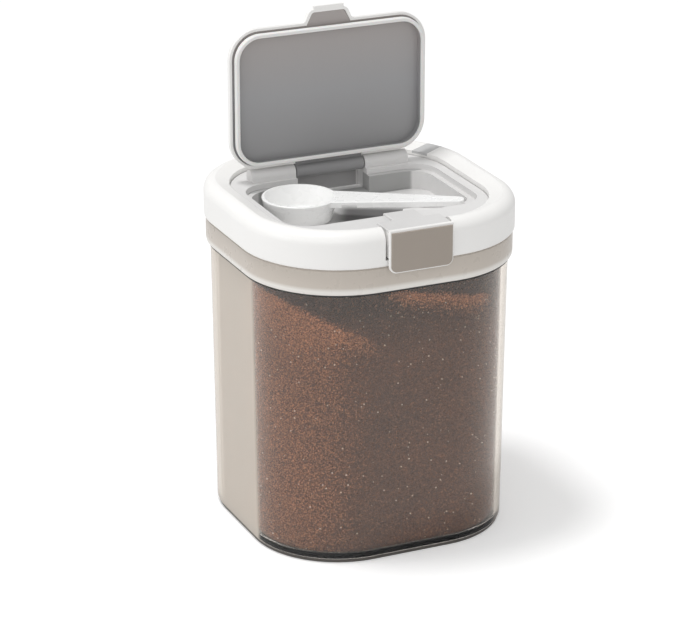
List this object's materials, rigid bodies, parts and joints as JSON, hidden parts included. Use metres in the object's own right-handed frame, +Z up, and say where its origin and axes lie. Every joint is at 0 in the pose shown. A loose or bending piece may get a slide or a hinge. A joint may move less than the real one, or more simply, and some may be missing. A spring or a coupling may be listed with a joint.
{
  "type": "food storage canister",
  "caption": "Clear squarish canister with a lift-off lid, a flip cover over a scoop tray, a scoop and a sprung front latch, for dry ground goods.",
  "frame": {"origin": "on the table under the middle of the tub", "axes": "+Z up, -Y to the front where the latch is, +X to the right seen from the front"},
  "size_m": [0.13, 0.1329, 0.2354],
  "materials": {
    "clear_plastic": "clear gloss",
    "dark_rubber": "matte",
    "off_white_plastic": "satin",
    "white_plastic": "satin",
    "light_grey_plastic": "satin",
    "grey_plastic": "satin",
    "taupe_plastic": "satin",
    "silicone": "matte",
    "steel": "bright"
  },
  "bodies": {
    "tub": {"tub": "clear_plastic", "foot_ring": "dark_rubber", "collar_seal": "dark_rubber", "collar": "off_white_plastic"},
    "lid": {"lid_ring": "white_plastic", "ring_inlay": "light_grey_plastic", "scoop_tray": "light_grey_plastic", "lid_plug": "white_plastic", "lid_gasket": "silicone", "hinge_bracket": "grey_plastic", "hinge_pin": "steel", "latch_pin": "steel", "latch_spring": "steel"},
    "cover": {"cover_shell": "white_plastic", "cover_liner": "grey_plastic", "cover_gasket": "silicone"},
    "latch": {"latch_lever": "white_plastic", "latch_hook": "light_grey_plastic", "latch_pad": "taupe_plastic"},
    "scoop": {"scoop": "white_plastic"}
  },
  "joints": [
    {"name": "lid_lift", "type": "slide", "parent": "tub", "child": "lid", "axis": [0, 0, 1], "range_m": [0, 0.06]},
    {"name": "cover_hinge", "type": "hinge", "parent": "lid", "child": "cover", "pos_m": [0, 0.034, 0.1576], "axis": [1, 0, 0], "range_deg": [0, 90]},
    {"name": "latch_press", "type": "hinge", "parent": "lid", "child": "latch", "pos_m": [0, -0.0623, 0.1489], "axis": [1, 0, 0], "range_deg": [0, 6], "stiffness_Nm_per_rad": 0.08, "springref_deg": -8.59},
    {"name": "scoop_lift", "type": "slide", "parent": "lid", "child": "scoop", "axis": [0, 0, 1], "range_m": [0, 0.06]}
  ]
}
